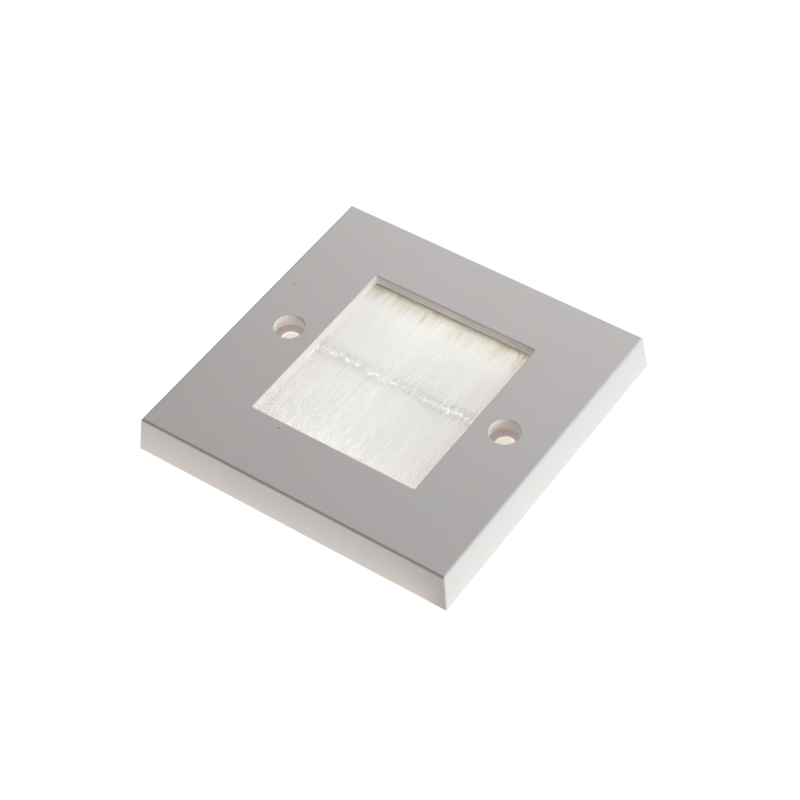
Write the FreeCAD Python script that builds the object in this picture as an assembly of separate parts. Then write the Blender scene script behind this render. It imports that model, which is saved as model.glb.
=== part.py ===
"""Single-gang brush cable plate: a moulded wall plate whose opening is closed by two strip brushes.

Frame: millimetres. The origin is the middle of the plate's back plane, +X runs along the line of the two
screw holes, +Y along the bristles (up the wall once fitted) and +Z out of the face.
Each strip brush is a folded metal channel that grips nylon filaments bent round a core wire.
"""

import FreeCAD
import Part
import math
import os

from FreeCAD import Vector

# Plate moulding
plate_side = 85.3            # square, measured at the back rim
plate_depth = 9.75           # back rim to face
side_draft_deg = 6.2         # lean of the four side walls
corner_radius = 0.4          # upright corners
face_edge_radius = 0.65      # round where the face meets the side walls
panel_thickness = 2.4        # front panel
skirt_thickness = 2.0        # side walls
rib_thickness = 1.5          # ribs behind the panel

# Cable opening
opening_width = 44.8         # along X
opening_height = 49.4        # along Y
opening_corner_radius = 0.4
opening_edge_radius = 0.3    # round at the face

# Screw holes, for raised countersunk M3.5 screws on the wall-box centres
screw_spacing = 60.3
screw_hole_diameter = 5.0
screw_head_diameter = 7.4
screw_head_depth = 3.2       # straight wall above the conical seat
screw_land = 0.6             # straight wall below the conical seat
screw_mouth_radius = 0.15
boss_wall = 1.5              # plastic round the head recess

# Strip brushes
strip_overlap = 1.5          # strip beyond the opening at each end
channel_setback = 0.0        # opening edge to the channel's mouth
channel_depth = 6.5          # mouth to the outside of the web
channel_sheet = 0.6
channel_bend_radius = 0.4    # inside of the fold
filament_gap = 3.0           # thickness gripped by the channel
core_wire_diameter = 1.4
wire_clearance = 0.02
boss_clearance = 0.5         # between a strip's end and a screw boss

# Bristle ridges: the filaments lie in rows of tufts that part near the tips
tuft_pitch = 1.2
tuft_inset = 0.1             # exposed filaments below the channel's inner face
tuft_ridge = 0.2             # crown of each tuft
slit_length = 5.0            # how far the tips part
slit_width = 0.16
tip_gap = 0.3                # between the tips of the two brushes
tip_line_shift = 0.5         # the brushes meet a little above the middle
tip_unevenness = 0.45
tip_waves = ((0.6, 17.0, 0.8), (0.4, 5.6, 2.1))   # share, length and phase of each

# Clip that holds each channel
hook_width = 6.0
hook_spacing = 30.0
hook_reach = 0.9
hook_height = 0.9

# Working values
cut_margin = 1.0             # how far a cut runs past the face it opens
same_place = 0.01            # edges this near a plane lie in it

# Derived sizes
draft = math.radians(side_draft_deg)
face_half = plate_side / 2 - plate_depth * math.tan(draft)
panel_back = plate_depth - panel_thickness
cone_depth = (screw_head_diameter - screw_hole_diameter) / 2
boss_height = screw_head_depth + cone_depth + screw_land - panel_thickness
boss_diameter = screw_head_diameter + 2 * boss_wall
strip_length = opening_width + 2 * strip_overlap
channel_mouth = opening_height / 2 + channel_setback
channel_web = channel_mouth + channel_depth
channel_height = filament_gap + 2 * channel_sheet
channel_back = panel_back - channel_height
filament_middle = panel_back - channel_height / 2
wire_middle = channel_web - channel_sheet - filament_gap / 2
tuft_count = round(strip_length / tuft_pitch)
tuft_width = strip_length / tuft_count


def upright_box(x_low, x_high, y_low, y_high, z_low, z_high):
    """A box given by its limits along each axis."""
    size = (x_high - x_low, y_high - y_low, z_high - z_low)
    return Part.makeBox(*size, Vector(x_low, y_low, z_low))


def curved_face(curves):
    """A flat face bounded by lines and arcs given in order."""
    return Part.Face(Part.Wire([curve.toShape() for curve in curves]))


def polygon_face(points):
    """A flat face with straight sides."""
    return Part.Face(Part.makePolygon([*points, points[0]]))


def face_edges(shape):
    """Edges of a shape that lie in the plane of the plate's face."""
    return [e for e in shape.Edges if e.BoundBox.ZMin > plate_depth - same_place]


def drafted_block(half, height):
    """A solid block with a square foot and the walls' draft."""
    top = half - height * math.tan(draft)
    block = Part.makeWedge(-half, 0, -half, -top, -top, half, height, half, top, top)
    return block.rotated(Vector(0, 0, 0), Vector(1, 0, 0), 90)


def round_edged_bar():
    """A bar longer than the plate, cut across like it: drafted sides that round over into the face."""
    turn = (math.pi / 2 + draft) / 2
    round_x = face_half - face_edge_radius / math.tan(turn)
    round_z = plate_depth - face_edge_radius
    foot_x = plate_side / 2 + cut_margin * math.tan(draft)

    def on_round(side, angle):
        x = round_x + face_edge_radius * math.cos(angle)
        return Vector(side * x, -plate_side, round_z + face_edge_radius * math.sin(angle))

    feet = [Vector(side * foot_x, -plate_side, -cut_margin) for side in (1, -1)]
    rounds = [Part.Arc(*[on_round(side, a) for a in (draft, turn, math.pi / 2)]) for side in (1, -1)]
    sides = [Part.LineSegment(feet[0], rounds[0].StartPoint), rounds[0]]
    sides += [Part.LineSegment(rounds[0].EndPoint, rounds[1].EndPoint), rounds[1]]
    sides += [Part.LineSegment(rounds[1].StartPoint, feet[1]), Part.LineSegment(feet[1], feet[0])]
    return curved_face(sides).extrude(Vector(0, 2 * plate_side, 0))


def plate_block():
    """The plate's outside, solid: drafted walls with rounded corners, rounded over into the face."""
    block = drafted_block(plate_side / 2, plate_depth + cut_margin)
    corners = [e for e in block.Edges if e.BoundBox.ZLength > plate_depth]
    block = block.makeFillet(corner_radius, corners)
    bar = round_edged_bar()
    crossed = bar.common(bar.rotated(Vector(0, 0, 0), Vector(0, 0, 1), 90))
    return block.common(crossed).removeSplitter()


def plate_hollow():
    """The space inside the side walls, behind the panel."""
    return drafted_block(plate_side / 2 - skirt_thickness, panel_back)


def screw_boss(x):
    """Plastic behind the panel round one screw hole, braced to the side wall and clear of the strips."""
    boss_end = panel_back - boss_height
    boss = Part.makeCylinder(boss_diameter / 2, boss_height, Vector(x, 0, boss_end))
    wall = math.copysign(plate_side / 2 - skirt_thickness, x)
    brace = upright_box(min(x, wall), max(x, wall), -rib_thickness / 2, rib_thickness / 2, boss_end, panel_back)
    reach = strip_length / 2 + boss_clearance
    strip_room = upright_box(-reach, reach, -channel_web, channel_web, 0, panel_back)
    return boss.fuse(brace).cut(strip_room)


def screw_recess(x):
    """The hole through one boss: head recess with a rounded mouth, conical seat and straight land."""
    hole = screw_hole_diameter / 2
    head = screw_head_diameter / 2
    mouth = screw_mouth_radius
    seat_top = plate_depth - screw_head_depth
    seat_end = seat_top - cone_depth

    def at(radius, z):
        return Vector(x + radius, 0, z)

    bend = mouth * (1 - math.sqrt(0.5))
    above = plate_depth + cut_margin
    corners = [at(head + mouth, plate_depth), at(head + mouth, above), at(0, above), at(0, 0)]
    corners += [at(hole, 0), at(hole, seat_end), at(head, seat_top), at(head, plate_depth - mouth)]
    sides = [Part.LineSegment(a, b) for a, b in zip(corners, corners[1:])]
    sides.append(Part.Arc(corners[-1], at(head + bend, plate_depth - bend), corners[0]))
    return curved_face(sides).revolve(Vector(x, 0, 0), Vector(0, 0, 1), 360)


def opening_cut():
    """The rectangular way through the panel, with small corner rounds."""
    half_width = opening_width / 2
    half_height = opening_height / 2
    cut = upright_box(-half_width, half_width, -half_height, half_height, 0, plate_depth + cut_margin)
    uprights = [e for e in cut.Edges if e.BoundBox.ZLength > panel_thickness]
    return cut.makeFillet(opening_corner_radius, uprights)


def channel_clip(side):
    """Ribs behind the panel that locate one channel, and hooks that hold its back."""
    half = strip_length / 2
    end = half + rib_thickness
    fence = channel_web + rib_thickness
    back_rib = upright_box(-end, end, channel_web, fence, channel_back, panel_back)
    ribs = [upright_box(x, x + rib_thickness, channel_mouth, fence, channel_back, panel_back) for x in (-end, half)]
    profile = [
        Vector(0, channel_web - hook_reach, channel_back),
        Vector(0, fence, channel_back),
        Vector(0, fence, channel_back - hook_height),
        Vector(0, channel_web, channel_back - hook_height),
    ]
    hook = polygon_face(profile).extrude(Vector(hook_width, 0, 0))
    starts = [x - hook_width / 2 for x in (-hook_spacing / 2, hook_spacing / 2)]
    hooks = [hook.translated(Vector(x, 0, 0)) for x in starts]
    return on_side(back_rib.multiFuse(ribs + hooks), side)


def on_side(shape, side):
    """The shape as built above the opening, or mirrored to below it."""
    return shape if side > 0 else shape.mirror(Vector(0, 0, 0), Vector(0, 1, 0))


def face_plate():
    """The whole moulding."""
    additions = [screw_boss(x) for x in (-screw_spacing / 2, screw_spacing / 2)]
    additions += [channel_clip(side) for side in (1, -1)]
    plate = plate_block().cut(plate_hollow()).multiFuse(additions)
    plate = plate.cut(opening_cut())
    for x in (-screw_spacing / 2, screw_spacing / 2):
        plate = plate.cut(screw_recess(x))
    plate = plate.removeSplitter()
    half_width = opening_width / 2 + same_place
    half_height = opening_height / 2 + same_place
    middles = [(e, e.BoundBox.Center) for e in face_edges(plate)]
    rim = [e for e, middle in middles if abs(middle.x) < half_width and abs(middle.y) < half_height]
    return plate.makeFillet(opening_edge_radius, rim)


def brush_channel(side):
    """A strip of sheet folded into a U that grips the filaments, its mouth towards the opening."""
    half = strip_length / 2

    def folded_block(sheet, radius):
        web = channel_web - sheet
        block = upright_box(-half, half, channel_mouth, web, channel_back + sheet, panel_back - sheet)
        folds = [e for e in block.Edges if e.BoundBox.YMin > web - same_place and e.BoundBox.XLength > half]
        return block.makeFillet(radius, folds)

    outside = folded_block(0, channel_bend_radius + channel_sheet)
    inside = folded_block(channel_sheet, channel_bend_radius)
    return on_side(outside.cut(inside), side)


def core_wire(side):
    """The wire in the fold of the filaments."""
    start = Vector(-strip_length / 2, wire_middle, filament_middle)
    wire = Part.makeCylinder(core_wire_diameter / 2, strip_length, start, Vector(1, 0, 0))
    return on_side(wire, side)


def tip_height(x, side):
    """How far from the middle the tips of one brush end at x, on a gently uneven line."""
    wave = sum(share * math.sin(2 * math.pi * x / length + phase) for share, length, phase in tip_waves)
    return side * (tip_line_shift + tip_unevenness * wave) + tip_gap / 2


def tuft_plan(side):
    """The exposed filaments seen from the face: straight tufts, slit apart near their uneven tips."""
    points = [Vector(-strip_length / 2, channel_mouth, 0)]
    for i in range(tuft_count):
        left = -strip_length / 2 + i * tuft_width
        right = left + tuft_width
        tip = tip_height((left + right) / 2, side)
        inner_left = left if i == 0 else left + slit_width / 2
        inner_right = right if i == tuft_count - 1 else right - slit_width / 2
        if i > 0:
            points.append(Vector(inner_left, tip + slit_length, 0))
        points += [Vector(inner_left, tip, 0), Vector(inner_right, tip, 0)]
        if i < tuft_count - 1:
            points.append(Vector(inner_right, tip + slit_length, 0))
    points.append(Vector(strip_length / 2, channel_mouth, 0))
    return polygon_face(points)


def tuft_section():
    """The exposed filaments cut across: a row of crowned tufts, top and bottom."""
    half = filament_gap / 2 - tuft_inset
    valley = half - tuft_ridge
    starts = [-strip_length / 2 + i * tuft_width for i in range(tuft_count)]

    def crown(x_from, x_to, sign):
        z = filament_middle
        middle = Vector((x_from + x_to) / 2, 0, z + sign * half)
        return Part.Arc(Vector(x_from, 0, z + sign * valley), middle, Vector(x_to, 0, z + sign * valley))

    top = [crown(x, x + tuft_width, 1) for x in starts]
    bottom = [crown(x + tuft_width, x, -1) for x in reversed(starts)]
    ends = [
        Part.LineSegment(top[-1].EndPoint, bottom[0].StartPoint),
        Part.LineSegment(bottom[-1].EndPoint, top[0].StartPoint),
    ]
    return curved_face([*top, ends[0], *bottom, ends[1]])


def filament_fold():
    """The gripped filaments: bent back on themselves round the core wire."""
    half = strip_length / 2
    low = filament_middle - filament_gap / 2
    slab = upright_box(-half, half, channel_mouth, wire_middle, low, low + filament_gap)
    start = Vector(-half, wire_middle, filament_middle)
    along = Vector(1, 0, 0)
    bend = Part.makeCylinder(filament_gap / 2, strip_length, start, along)
    eye = Part.makeCylinder(core_wire_diameter / 2 + wire_clearance, strip_length, start, along)
    return slab.fuse(bend).cut(eye)


def bristles(side):
    """One brush's filaments: exposed tufts joined to the gripped fold."""
    plan = tuft_plan(side)
    plan.translate(Vector(0, 0, filament_middle - filament_gap))
    exposed = plan.extrude(Vector(0, 0, 2 * filament_gap))
    ridges = tuft_section().extrude(Vector(0, 2 * channel_mouth, 0))
    ridges.translate(Vector(0, -channel_mouth, 0))
    pack = exposed.common(ridges).fuse(filament_fold())
    return on_side(pack.removeSplitter(), side)


def main():
    pieces = {"face_plate": face_plate()}
    for name, side in (("upper", 1), ("lower", -1)):
        pieces[f"{name}_brush_channel"] = brush_channel(side)
        pieces[f"{name}_core_wire"] = core_wire(side)
        pieces[f"{name}_bristles"] = bristles(side)
    os.makedirs("parts", exist_ok=True)
    for name, shape in pieces.items():
        shape.exportStep(f"parts/{name}.step")
        print(name, "solids", len(shape.Solids), "valid", shape.isValid(), "volume", round(shape.Volume, 2))


main()
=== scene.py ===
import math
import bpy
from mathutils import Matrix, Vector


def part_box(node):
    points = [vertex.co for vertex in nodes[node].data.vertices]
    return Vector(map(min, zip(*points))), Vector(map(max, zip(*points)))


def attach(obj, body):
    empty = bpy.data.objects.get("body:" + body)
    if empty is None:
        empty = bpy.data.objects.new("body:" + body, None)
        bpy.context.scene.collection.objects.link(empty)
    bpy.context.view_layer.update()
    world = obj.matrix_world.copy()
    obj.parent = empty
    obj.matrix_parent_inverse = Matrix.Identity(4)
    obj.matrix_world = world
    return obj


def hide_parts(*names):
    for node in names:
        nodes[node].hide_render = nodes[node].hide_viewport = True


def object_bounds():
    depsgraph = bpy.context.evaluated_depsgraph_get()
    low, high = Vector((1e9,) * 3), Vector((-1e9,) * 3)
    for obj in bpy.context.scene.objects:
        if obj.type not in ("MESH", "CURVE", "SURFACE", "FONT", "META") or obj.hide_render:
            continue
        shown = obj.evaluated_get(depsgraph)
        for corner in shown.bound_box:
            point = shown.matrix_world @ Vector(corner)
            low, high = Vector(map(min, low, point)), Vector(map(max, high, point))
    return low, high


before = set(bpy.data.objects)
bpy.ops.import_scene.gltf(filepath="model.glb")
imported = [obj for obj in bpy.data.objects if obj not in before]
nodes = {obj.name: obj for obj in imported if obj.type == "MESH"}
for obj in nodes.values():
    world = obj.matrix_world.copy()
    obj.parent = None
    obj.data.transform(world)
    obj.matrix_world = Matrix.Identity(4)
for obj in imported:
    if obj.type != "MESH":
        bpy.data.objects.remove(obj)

# Looks of the brush cable plate: white moulding, nylon filaments, folded metal channels and core wires.
# Metres, in the part's own frame: +X along the screw holes, +Y along the bristles, +Z out of the face.
from types import SimpleNamespace

import bpy
import numpy as np
from mathutils import Quaternion, Vector

cad_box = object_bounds()
half_plate = cad_box[1][1]
face_height = cad_box[1][2]
MM = 0.001
white = (1, 1, 1)

# Camera, from the plate's corners in the photograph
camera_place = Vector((0.21428, -0.28250, 0.40307))
camera_azimuth = math.radians(37.033)
camera_fall = math.radians(48.521)
camera_roll = math.radians(-3.266)
camera_lens = 103.61         # mm, on a sensor of the next width
sensor_width = 36
nearest_seen = 0.01          # the camera sees nothing nearer

# Filaments
filament_count = 650         # folded filaments in each brush, two legs each
filament_radius = 0.09 * MM  # across the brush
filament_flatness = 0.45     # upright half width as a share of it
filament_shift = 0.03 * MM   # sideways unevenness of the row
filament_lean = 0.07 * MM    # sideways unevenness of the tips
filament_lift = 0.04 * MM    # upright unevenness of the tips
tube_sides = 6
end_inset = 0.3 * MM         # filaments stay this far inside the strip's ends
golden_step = 0.618034       # spreads neighbours over the brush's height
layer_scatter = 0.05         # unevenness of that spread, as a share of the height
innermost = 0.03 * MM        # distance of the first layer from the brush's middle
leg_steps = (0.0, 0.012, 0.08, 0.25, 0.45, 0.65, 0.85, 1.0)   # from the tip to the channel's mouth
leg_curl = 1.6               # how soon a leg is straight, going from its tip
bend_turns = (0.25, 0.5, 0.75)   # round the core wire, in half turns

# Tips of the filaments
tip_shift = 2.1 * MM         # the brushes meet this far above the middle
tip_wave = 0.45 * MM         # height of the waves in the line where they meet
tip_waves = ((0.6, 2.7 * MM, 0.8), (0.4, 0.9 * MM, 2.1))   # share, length per radian and phase of each
tip_scatter = 0.6 * MM
tip_height = 1.1 * MM        # the upper brush's cut ends stand this high on the lower brush
tip_gap = 0.9 * MM           # the lower brush stops this far short of the upper one
tip_flare = 1.8              # cut ends are round and wider than the filament
cut_slope = 0.5              # how far the cut ends are from square
tuft_size = 1.6 * MM
tuft_pull = 0.08 * MM        # how far a tuft draws its tips together
tuft_drift = 0.3             # unevenness of the tufts, as a share of one
tuft_drift_length = 5 * MM   # per radian
stray_share = 0.012          # of the filaments
stray_lean = 4               # times the lean of the others
stray_lift = 0.7 * MM

# Noise in the materials
even = (1, 1, 1)             # not stretched along an axis
tone_edge = (0.35, 0.65)     # it goes from a dark tone to a light one between these

# White plastic: dark and light tone, roughness, and scale and detail of its noises
plastic_tones = ((0.858, 0.808, 0.780), (0.874, 0.824, 0.798))
plastic_roughness = (0.38, 0.47)
plastic_index = 1.5
plastic_clouds = (60, 4)     # in its tone
plastic_patches = (900, 4)   # in its roughness
plastic_grain = (5000, 2)    # in its bump
grain_bump = (0.06, 0.02 * MM)       # strength and depth
scatter_share = 0.2          # of the light, below the surface
scatter_colours = (1.0, 0.75, 0.55)  # how far red, green and blue go
scatter_depth = 0.4 * MM

# Dust on the face: x and y in mm, radius in mm, strength
dust_specks = ((-37.46, 11.92, 0.22, 0.75), (-13.46, -26.75, 0.24, 0.75),
               (-5.29, 36.62, 0.20, 0.30), (31.46, 6.57, 0.20, 0.25))
dust_edge = (0.4, 1.3)       # where a speck's edge starts and ends, in radii

# Metal: dark tone, light tone and roughness of each kind, and the lines along X
channel_finish = ((0.40, 0.39, 0.37), (0.52, 0.51, 0.49), (0.34, 0.48))
wire_finish = ((0.50, 0.50, 0.49), (0.66, 0.66, 0.65), (0.25, 0.40))
metal_lines = (900, 5, (0.05, 1, 1))     # scale, detail and stretch
metal_bump = (0.15, 0.02 * MM)           # strength and depth

# Nylon: dark tone, light tone, share of light that passes through, and the grain's scale, detail and stretch
filament_finish = ((0.970, 0.968, 0.964), (0.981, 0.979, 0.975), 0.97, (260, 4, (1, 0.03, 1)))
# The cut ends are nylon. Their whiter tone and fine light-and-dark speckle are painted sparkle of glinting
# ends.
cut_end_sparkle_finish = ((0.980, 0.976, 0.962), (0.999, 0.998, 0.994), 0.92, (3600, 4, even))
nylon_edge = (0.3, 0.6)      # the grain goes from dark to light between these
nylon_roughness = 0.4
nylon_index = 1.53

# Nylon near the channels: factors on its tone, and where along Y they set in. The lighter roots are painted
# light against the shade near the channels, and the darker streaks are painted shade between the tufts at
# the far brush's roots.
root_painted_light = (1.018, 1.014, 1.004)
root_painted_light_fade = (22 * MM, 24 * MM)
root_shade_colour = (0.89, 0.875, 0.83)
root_shade_fade = (12 * MM, 20.5 * MM)   # on the far brush alone
root_shade_lines = (1150, 2, (1, 0.07, 1))   # scale, detail and stretch
root_shade_edge = (0.53, 0.62)   # the streaks set in between these

# The table: how bright it is to the eye, and as a light that the eye doesn't see
table_size = 4
table_colour = (0.3, 0.3, 0.3)
table_seen = 0.92
shade_lift = 0.025           # added for the eye, so that the plate's faint shade on the table stays white
near_light = 1.34            # round the plate
far_light = 0.4              # away from it
glow_fade = (1.3 * half_plate, 2 * half_plate)
brush_light = 0.25           # added under the brushes
brush_fade = (21 * MM, 13 * MM)
far_root_light = 5.6         # added under the far brush's roots
near_root_light = 2.6        # added under the near brush's roots
root_light_fade = (23 * MM, 24.5 * MM)
under_shift = (-3 * MM, 0, 0)        # the light under the brushes lies this far to the right
under_fade_x = (27 * MM, 19 * MM)
under_fade_y = (38 * MM, 33 * MM)
hole_light = 1.2             # added under the screw holes
hole_place = (30.15 * MM, 0, 0)      # middle of a screw hole, on either side
hole_fade = (4 * MM, 3 * MM)
front_colour = (1.0, 0.955, 0.915)
front_fade = (-0.9 * half_plate, -1.2 * half_plate)
right_colour = (0.48, 0.49, 0.49)
right_fade = (0.85 * half_plate, half_plate)

# The table beside the opening, under the plate, which shows through the screw holes: painted shade, darker
# and creamy where the plate covers it
under_plate_shade_colour = (0.565, 0.506, 0.438)
under_plate_shade_start = (26.5 * MM, 28.5 * MM)
under_plate_shade_end = (40 * MM, 36 * MM)
sight_shift = (2.75 * MM, -3.6 * MM, 0)   # from the table to what hides it at the brushes' height

# World and lamps: place, width, height, power in watts and colour of each lamp
world_seen = 1.0
world_glow = 0.05
lamps = {
    "back_light": ((-0.06, 0.42, 0.34), 0.6, 0.2, 1.49, (0.99, 1.0, 1.01)),
    "right_light": ((0.80, 0.05, 0.18), 0.6, 0.3, 4.2, (0.94, 1.0, 1.02)),
}
most_bounces = 64            # light goes through many filaments
most_diffuse_bounces = 16


def new_material(name):
    """An empty node material with its output node."""
    material = bpy.data.materials.new(name)
    material.use_nodes = True
    tree = material.node_tree
    tree.nodes.clear()
    return material, tree, tree.nodes.new("ShaderNodeOutputMaterial")


def own_place(tree):
    """The place of a point in its object's own space."""
    return tree.nodes.new("ShaderNodeTexCoord").outputs["Object"]


def noise(tree, scale, detail, stretch=even):
    """Noise in the object's own space, stretched along the axes."""
    mapping = tree.nodes.new("ShaderNodeMapping")
    mapping.inputs["Scale"].default_value = stretch
    texture = tree.nodes.new("ShaderNodeTexNoise")
    texture.inputs["Scale"].default_value = scale
    texture.inputs["Detail"].default_value = detail
    tree.links.new(own_place(tree), mapping.inputs["Vector"])
    tree.links.new(mapping.outputs["Vector"], texture.inputs["Vector"])
    return texture.outputs["Fac"]


def ramp(tree, value, low, high, start, end):
    """Colours between low and high as a value goes from start to end."""
    node = tree.nodes.new("ShaderNodeValToRGB")
    for element, place, colour in zip(node.color_ramp.elements, (start, end), (low, high)):
        element.position = place
        element.color = (*colour, 1)
    tree.links.new(value, node.inputs["Fac"])
    return node.outputs["Color"]


def tint(tree, value, colour):
    """White that turns into a colour as a value goes from 0 to 1."""
    return ramp(tree, value, white, colour, 0, 1)


def spread(tree, value, low, high):
    """A number between low, fixed or not, and high that follows a value from 0 to 1."""
    node = tree.nodes.new("ShaderNodeMapRange")
    if isinstance(low, bpy.types.NodeSocket):
        tree.links.new(low, node.inputs["To Min"])
    else:
        node.inputs["To Min"].default_value = low
    node.inputs["To Max"].default_value = high
    tree.links.new(value, node.inputs["Value"])
    return node.outputs["Result"]


def rise(tree, value, start, end):
    """A number that rises from 0 to 1 as a value goes from start to end."""
    node = tree.nodes.new("ShaderNodeMapRange")
    node.inputs["From Min"].default_value = start
    node.inputs["From Max"].default_value = end
    tree.links.new(value, node.inputs["Value"])
    return node.outputs["Result"]


def maths(tree, operation, first, second):
    """Two values put together."""
    node = tree.nodes.new("ShaderNodeMath")
    node.operation = operation
    tree.links.new(first, node.inputs[0])
    tree.links.new(second, node.inputs[1])
    return node.outputs["Value"]


def vectors(tree, operation, first, second=None):
    """A vector worked on alone, with a fixed vector or with another one."""
    node = tree.nodes.new("ShaderNodeVectorMath")
    node.operation = operation
    tree.links.new(first, node.inputs[0])
    if isinstance(second, tuple):
        node.inputs[1].default_value = second
    elif second is not None:
        tree.links.new(second, node.inputs[1])
    return node.outputs["Vector"]


def split(tree, vector):
    """The three parts of a vector."""
    node = tree.nodes.new("ShaderNodeSeparateXYZ")
    tree.links.new(vector, node.inputs["Vector"])
    return node.outputs["X"], node.outputs["Y"], node.outputs["Z"]


def distance(tree, vector, point):
    """How far a vector is from a fixed point."""
    node = tree.nodes.new("ShaderNodeVectorMath")
    node.operation = "DISTANCE"
    node.inputs[1].default_value = point
    tree.links.new(vector, node.inputs[0])
    return node.outputs["Value"]


def scaled(tree, colour, factor):
    """A colour times a factor."""
    node = tree.nodes.new("ShaderNodeVectorMath")
    node.operation = "SCALE"
    tree.links.new(colour, node.inputs[0])
    tree.links.new(factor, node.inputs["Scale"])
    return node.outputs["Vector"]


def bump(tree, value, strength, depth):
    """A normal roughened by a value."""
    node = tree.nodes.new("ShaderNodeBump")
    node.inputs["Strength"].default_value = strength
    node.inputs["Distance"].default_value = depth
    tree.links.new(value, node.inputs["Height"])
    return node.outputs["Normal"]


def speck_mask(tree, x, y, radius, strength):
    """One soft-edged speck of dust, from 1 outside it to 1 - strength at its middle."""
    start, end = dust_edge
    mask = tree.nodes.new("ShaderNodeMapRange")
    mask.interpolation_type = "SMOOTHSTEP"
    mask.inputs["From Min"].default_value = start * radius * MM
    mask.inputs["From Max"].default_value = end * radius * MM
    mask.inputs["To Min"].default_value = 1 - strength
    mask.inputs["To Max"].default_value = 1
    away = distance(tree, own_place(tree), (x * MM, y * MM, face_height))
    tree.links.new(away, mask.inputs["Value"])
    return mask.outputs["Result"]


def white_plastic():
    """Moulded plastic: near-white, satin, with a fine moulded grain and a few specks of dust."""
    material, tree, output = new_material("white_plastic")
    shader = tree.nodes.new("ShaderNodeBsdfPrincipled")
    shader.inputs["IOR"].default_value = plastic_index
    shader.inputs["Subsurface Weight"].default_value = scatter_share
    shader.inputs["Subsurface Radius"].default_value = scatter_colours
    shader.inputs["Subsurface Scale"].default_value = scatter_depth
    colour = ramp(tree, noise(tree, *plastic_clouds), *plastic_tones, *tone_edge)
    for speck in dust_specks:
        colour = scaled(tree, colour, speck_mask(tree, *speck))
    roughness = spread(tree, noise(tree, *plastic_patches), *plastic_roughness)
    grain = bump(tree, noise(tree, *plastic_grain), *grain_bump)
    tree.links.new(colour, shader.inputs["Base Color"])
    tree.links.new(roughness, shader.inputs["Roughness"])
    tree.links.new(grain, shader.inputs["Normal"])
    tree.links.new(shader.outputs["BSDF"], output.inputs["Surface"])
    return material


def drawn_metal(name, dark, light, roughness):
    """Rolled or drawn metal: fine lines along X in colour, gloss and relief."""
    material, tree, output = new_material(name)
    shader = tree.nodes.new("ShaderNodeBsdfPrincipled")
    shader.inputs["Metallic"].default_value = 1
    lines = noise(tree, *metal_lines)
    tree.links.new(ramp(tree, lines, dark, light, *tone_edge), shader.inputs["Base Color"])
    tree.links.new(spread(tree, lines, *roughness), shader.inputs["Roughness"])
    tree.links.new(bump(tree, lines, *metal_bump), shader.inputs["Normal"])
    tree.links.new(shader.outputs["BSDF"], output.inputs["Surface"])
    return material


def nylon(name, dark, light, through, grain):
    """Clear white nylon that passes most light on, with painted light at the roots and painted streaky shade
    at the far roots.
    """
    material, tree, output = new_material(name)
    place = own_place(tree)
    colour = ramp(tree, noise(tree, *grain), dark, light, *nylon_edge)
    along = split(tree, vectors(tree, "ABSOLUTE", place))[1]
    # Painted light: the nylon turns lighter near the channels, against the shade there.
    colour = vectors(tree, "MULTIPLY", colour, tint(tree, rise(tree, along, *root_painted_light_fade), root_painted_light))
    # Painted shade: darker streaks between the tufts at the far brush's roots.
    far = rise(tree, split(tree, place)[1], *root_shade_fade)
    shade_streak = maths(tree, "MULTIPLY", far, noise(tree, *root_shade_lines))
    colour = vectors(tree, "MULTIPLY", colour, ramp(tree, shade_streak, white, root_shade_colour, *root_shade_edge))
    shader = tree.nodes.new("ShaderNodeBsdfPrincipled")
    shader.inputs["Roughness"].default_value = nylon_roughness
    shader.inputs["IOR"].default_value = nylon_index
    glow = tree.nodes.new("ShaderNodeBsdfTranslucent")
    mix = tree.nodes.new("ShaderNodeMixShader")
    mix.inputs["Fac"].default_value = through
    tree.links.new(colour, shader.inputs["Base Color"])
    tree.links.new(colour, glow.inputs["Color"])
    tree.links.new(shader.outputs["BSDF"], mix.inputs[1])
    tree.links.new(glow.outputs["BSDF"], mix.inputs[2])
    tree.links.new(mix.outputs["Shader"], output.inputs["Surface"])
    return material


def dress_frame():
    """Finishes for the pieces that keep their own shape."""
    finishes = {"face_plate": white_plastic()}
    channel = drawn_metal("channel_metal", *channel_finish)
    wire = drawn_metal("core_wire", *wire_finish)
    for brush in ("upper", "lower"):
        finishes[f"{brush}_brush_channel"] = channel
        finishes[f"{brush}_core_wire"] = wire
    for node, material in finishes.items():
        nodes[node].data.materials.clear()
        nodes[node].data.materials.append(material)


def strip_layout(brush, rng):
    """Sizes of one brush, from the boxes of its pieces, and the row of its filaments."""
    channel_low, channel_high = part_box(f"{brush}_brush_channel")
    wire_low, wire_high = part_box(f"{brush}_core_wire")
    pack_low, pack_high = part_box(f"{brush}_bristles")
    strip = SimpleNamespace()
    strip.mouth = min(abs(channel_low[1]), abs(channel_high[1]))
    strip.wire_y = abs(wire_low[1] + wire_high[1]) / 2
    strip.middle = (wire_low[2] + wire_high[2]) / 2
    strip.widest = (pack_high[2] - pack_low[2]) / 2 - filament_radius
    strip.half = pack_high[0] - end_inset
    row = np.linspace(-strip.half, strip.half, filament_count)
    row = row + rng.normal(0, filament_shift, filament_count)
    strip.x = np.clip(row, -strip.half, strip.half)
    scatter = rng.normal(0, layer_scatter, filament_count)
    strip.layer = (np.arange(filament_count) * golden_step + scatter) % 1
    tightest = (wire_high[2] - wire_low[2]) / 2 + filament_radius
    strip.bend = tightest + strip.layer * (strip.widest - tightest)
    return strip


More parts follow.
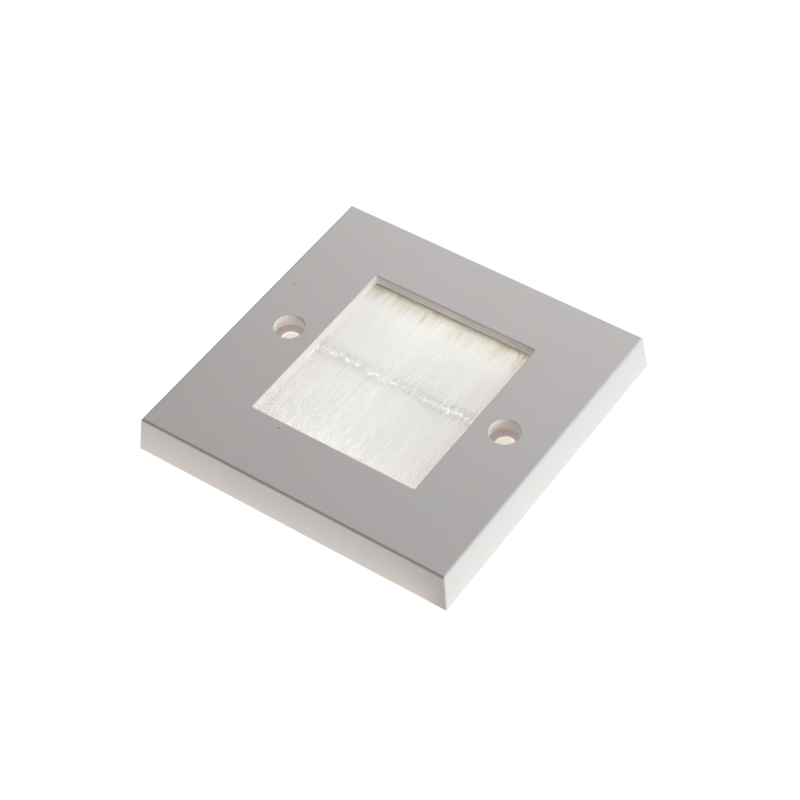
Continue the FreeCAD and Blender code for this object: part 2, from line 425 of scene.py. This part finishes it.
def leg(strip, side, up, rng):
    """One leg of every filament, from its tip to where it starts round the core wire."""
    x = strip.x
    depth = up * (innermost + strip.layer * (strip.widest - innermost))
    level = (depth / strip.widest + 1) / 2
    wave = sum(share * np.sin(x / length + phase) for share, length, phase in tip_waves)
    tip = side * (tip_shift + tip_wave * wave) + rng.normal(0, tip_scatter, filament_count)
    settled = tip_height * level
    if side < 0:
        tip = tip + tip_gap
        settled = settled - tip_height
    tuft = np.round(x / tuft_size + tuft_drift * np.sin(x / tuft_drift_length)) * tuft_size
    pull = np.clip(tuft - x, -tuft_pull, tuft_pull)
    lean = rng.normal(0, filament_lean, filament_count)
    lift = settled - depth + rng.normal(0, filament_lift, filament_count)
    stray = rng.random(filament_count) < stray_share
    lean = np.where(stray, lean * stray_lean, lean)
    lift = np.where(stray & (up > 0), lift + rng.random(filament_count) * stray_lift, lift)
    rows = []
    for step in leg_steps:
        free = (1 - step) ** leg_curl
        across = np.clip(x + free * (pull + lean), -strip.half, strip.half)
        along = tip + step * (strip.mouth - tip)
        rows.append(np.stack([across, along, strip.middle + depth + free * lift], 1))
    rows.append(np.stack([x, np.full(filament_count, strip.wire_y), strip.middle + up * strip.bend], 1))
    return np.stack(rows, 1)


def brush_paths(brush, side, rng):
    """Centre lines of one brush's filaments, as an array of filament, point and xyz."""
    strip = strip_layout(brush, rng)
    upper = leg(strip, side, 1, rng)
    lower = leg(strip, side, -1, rng)
    turns = []
    for turn in bend_turns:
        along = strip.wire_y + strip.bend * math.sin(math.pi * turn)
        height = strip.middle + strip.bend * math.cos(math.pi * turn)
        turns.append(np.stack([strip.x, along, height], 1))
    path = np.concatenate([upper, np.stack(turns, 1), lower[:, ::-1]], 1)
    path[:, :, 1] *= side
    return path


def tubes(name, paths, rng):
    """A mesh of closed tubes round many paths. The cut ends slope and use the second material."""
    count, steps, _ = paths.shape
    ahead = np.gradient(paths, axis=1)
    ahead /= np.linalg.norm(ahead, axis=2, keepdims=True)
    across = np.array([1.0, 0.0, 0.0]) - ahead * ahead[:, :, :1]
    across /= np.linalg.norm(across, axis=2, keepdims=True)
    upward = np.cross(ahead, across)
    angles = 2 * np.pi * np.arange(tube_sides) / tube_sides
    circle = np.stack([np.cos(angles), np.sin(angles)])
    height = np.full((1, steps, 1, 1), filament_flatness)
    height[:, (0, -1)] = 1
    ring = across[:, :, None] * circle[0][:, None] + height * upward[:, :, None] * circle[1][:, None]
    for end in (0, -1):
        slope = rng.normal(0, cut_slope, (count, 2)) @ circle
        ring[:, end] += ahead[:, end, None] * slope[:, :, None]
    ring[:, (0, -1)] *= tip_flare
    vertices = paths[:, :, None] + filament_radius * ring

    index = np.arange(count * steps * tube_sides).reshape(count, steps, tube_sides)
    here, there = index[:, :-1], index[:, 1:]
    walls = np.stack([here, np.roll(here, -1, 2), np.roll(there, -1, 2), there], 3).reshape(-1, 4)
    caps = np.concatenate([index[:, 0, ::-1], index[:, -1]])
    mesh = bpy.data.meshes.new(name)
    mesh.from_pydata(vertices.reshape(-1, 3), [], walls.tolist() + caps.tolist())
    smooth = np.arange(len(mesh.polygons)) < len(walls)
    step = np.arange(len(walls)) // tube_sides % (steps - 1)
    at_end = np.ones(len(mesh.polygons), int)
    at_end[:len(walls)] = (step == 0) | (step == steps - 2)
    mesh.polygons.foreach_set("use_smooth", smooth)
    mesh.polygons.foreach_set("material_index", at_end)
    mesh.update()
    piece = bpy.data.objects.new(name, mesh)
    bpy.context.collection.objects.link(piece)
    return piece


def make_brushes():
    """The filaments of both brushes."""
    filament = nylon("nylon_filament", *filament_finish)
    # Cut ends: nylon with painted sparkle.
    cut_end = nylon("nylon_cut_end_sparkle", *cut_end_sparkle_finish)
    for seed, (brush, side) in enumerate((("upper", 1), ("lower", -1))):
        rng = np.random.default_rng(seed)
        piece = tubes(f"{brush}_filaments", brush_paths(brush, side, rng), rng)
        piece.data.materials.append(filament)
        piece.data.materials.append(cut_end)
        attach(piece, "root")
        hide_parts(f"{brush}_bristles")


def backdrop_strength(tree, seen_white, glow):
    """White for the rays that see the backdrop, and a glow for the rest."""
    path = tree.nodes.new("ShaderNodeLightPath")
    seen = maths(tree, "MAXIMUM", path.outputs["Is Camera Ray"], path.outputs["Is Glossy Ray"])
    seen = maths(tree, "MAXIMUM", seen, path.outputs["Is Transmission Ray"])
    return spread(tree, seen, glow, seen_white)


def table_strength(tree, place, camera_ray):
    """How strongly the table shines: evenly to the eye, but as a light more under brushes and holes."""
    x, y, _ = split(tree, vectors(tree, "ABSOLUTE", place))
    glow = spread(tree, rise(tree, maths(tree, "MAXIMUM", x, y), *glow_fade), near_light, far_light)
    beside = split(tree, vectors(tree, "ABSOLUTE", vectors(tree, "ADD", place, under_shift)))[0]
    under = maths(tree, "MULTIPLY", rise(tree, beside, *under_fade_x), rise(tree, y, *under_fade_y))
    extra = spread(tree, rise(tree, y, *brush_fade), 0, brush_light)
    along = split(tree, place)[1]
    start, full = root_light_fade
    for end, light in ((1, far_root_light), (-1, near_root_light)):
        roots = rise(tree, along, end * start, end * full)
        extra = maths(tree, "ADD", extra, spread(tree, roots, 0, light))
    extra = maths(tree, "MULTIPLY", under, extra)
    hole = rise(tree, distance(tree, vectors(tree, "ABSOLUTE", place), hole_place), *hole_fade)
    extra = maths(tree, "ADD", extra, spread(tree, hole, 0, hole_light))
    extra = spread(tree, camera_ray, extra, shade_lift)
    return maths(tree, "ADD", backdrop_strength(tree, table_seen, glow), extra)


def table_tint(tree, place, camera_ray):
    """The table's colour: painted creamy shade under the plate, which shows through the screw holes, and, as
    a light, warm in front and dim at right.
    """
    unseen = spread(tree, camera_ray, 1, 0)
    x, y, _ = split(tree, place)
    front = maths(tree, "MULTIPLY", unseen, rise(tree, y, *front_fade))
    right = maths(tree, "MULTIPLY", unseen, rise(tree, x, *right_fade))
    sides = vectors(tree, "MULTIPLY", tint(tree, front, front_colour), tint(tree, right, right_colour))
    # Painted shade: the table under the plate beside the opening is darker and creamy.
    x, y, _ = split(tree, vectors(tree, "ABSOLUTE", vectors(tree, "ADD", place, sight_shift)))
    beside = maths(tree, "MULTIPLY", rise(tree, x, *under_plate_shade_start), rise(tree, x, *under_plate_shade_end))
    beside = maths(tree, "MULTIPLY", beside, rise(tree, y, *under_plate_shade_end))
    return vectors(tree, "MULTIPLY", tint(tree, beside, under_plate_shade_colour), sides)


def make_floor():
    """A pale glowing table that the plate lies on."""
    bpy.ops.mesh.primitive_plane_add(size=table_size)
    floor = bpy.context.object
    floor.name = "floor"
    material, tree, output = new_material("pale_table")
    place = own_place(tree)
    camera_ray = tree.nodes.new("ShaderNodeLightPath").outputs["Is Camera Ray"]
    lit = tree.nodes.new("ShaderNodeBsdfDiffuse")
    lit.inputs["Color"].default_value = (*table_colour, 1)
    light = tree.nodes.new("ShaderNodeEmission")
    tree.links.new(table_strength(tree, place, camera_ray), light.inputs["Strength"])
    tree.links.new(table_tint(tree, place, camera_ray), light.inputs["Color"])
    both = tree.nodes.new("ShaderNodeAddShader")
    tree.links.new(lit.outputs["BSDF"], both.inputs[0])
    tree.links.new(light.outputs["Emission"], both.inputs[1])
    tree.links.new(both.outputs["Shader"], output.inputs["Surface"])
    floor.data.materials.append(material)


def make_world():
    """White for the rays that see it, dim for the light that it gives."""
    world = bpy.data.worlds.new("studio")
    world.use_nodes = True
    bpy.context.scene.world = world
    tree = world.node_tree
    background = tree.nodes["Background"]
    background.inputs["Color"].default_value = (*white, 1)
    tree.links.new(backdrop_strength(tree, world_seen, world_glow), background.inputs["Strength"])


def area_light(name, place, width, height, power, colour):
    """A soft rectangular lamp that shines on the middle of the plate."""
    light = bpy.data.lights.new(name, "AREA")
    light.shape = "RECTANGLE"
    light.size = width
    light.size_y = height
    light.energy = power
    light.color = colour
    lamp = bpy.data.objects.new(name, light)
    lamp.location = place
    lamp.rotation_mode = "QUATERNION"
    lamp.rotation_quaternion = (-Vector(place)).to_track_quat("-Z", "Y")
    bpy.context.collection.objects.link(lamp)


def make_lights():
    """Light from behind, and lower light from the right."""
    for name, lamp in lamps.items():
        area_light(name, *lamp)


def make_camera():
    """The photograph's viewpoint."""
    data = bpy.data.cameras.new("camera")
    data.lens = camera_lens
    data.sensor_width = sensor_width
    data.clip_start = nearest_seen
    camera = bpy.data.objects.new("camera", data)
    level = math.cos(camera_fall)
    aside = -math.sin(camera_azimuth) * level
    ahead = math.cos(camera_azimuth) * level
    view = Vector((aside, ahead, -math.sin(camera_fall)))
    camera.location = camera_place
    camera.rotation_mode = "QUATERNION"
    camera.rotation_quaternion = view.to_track_quat("-Z", "Y") @ Quaternion((0, 0, 1), camera_roll)
    bpy.context.collection.objects.link(camera)
    bpy.context.scene.camera = camera


make_camera()
make_world()
make_floor()
make_lights()
dress_frame()
make_brushes()
bpy.context.scene.view_settings.view_transform = "Standard"
bpy.context.scene.cycles.max_bounces = most_bounces
bpy.context.scene.cycles.diffuse_bounces = most_diffuse_bounces
bpy.context.scene.cycles.transmission_bounces = most_bounces
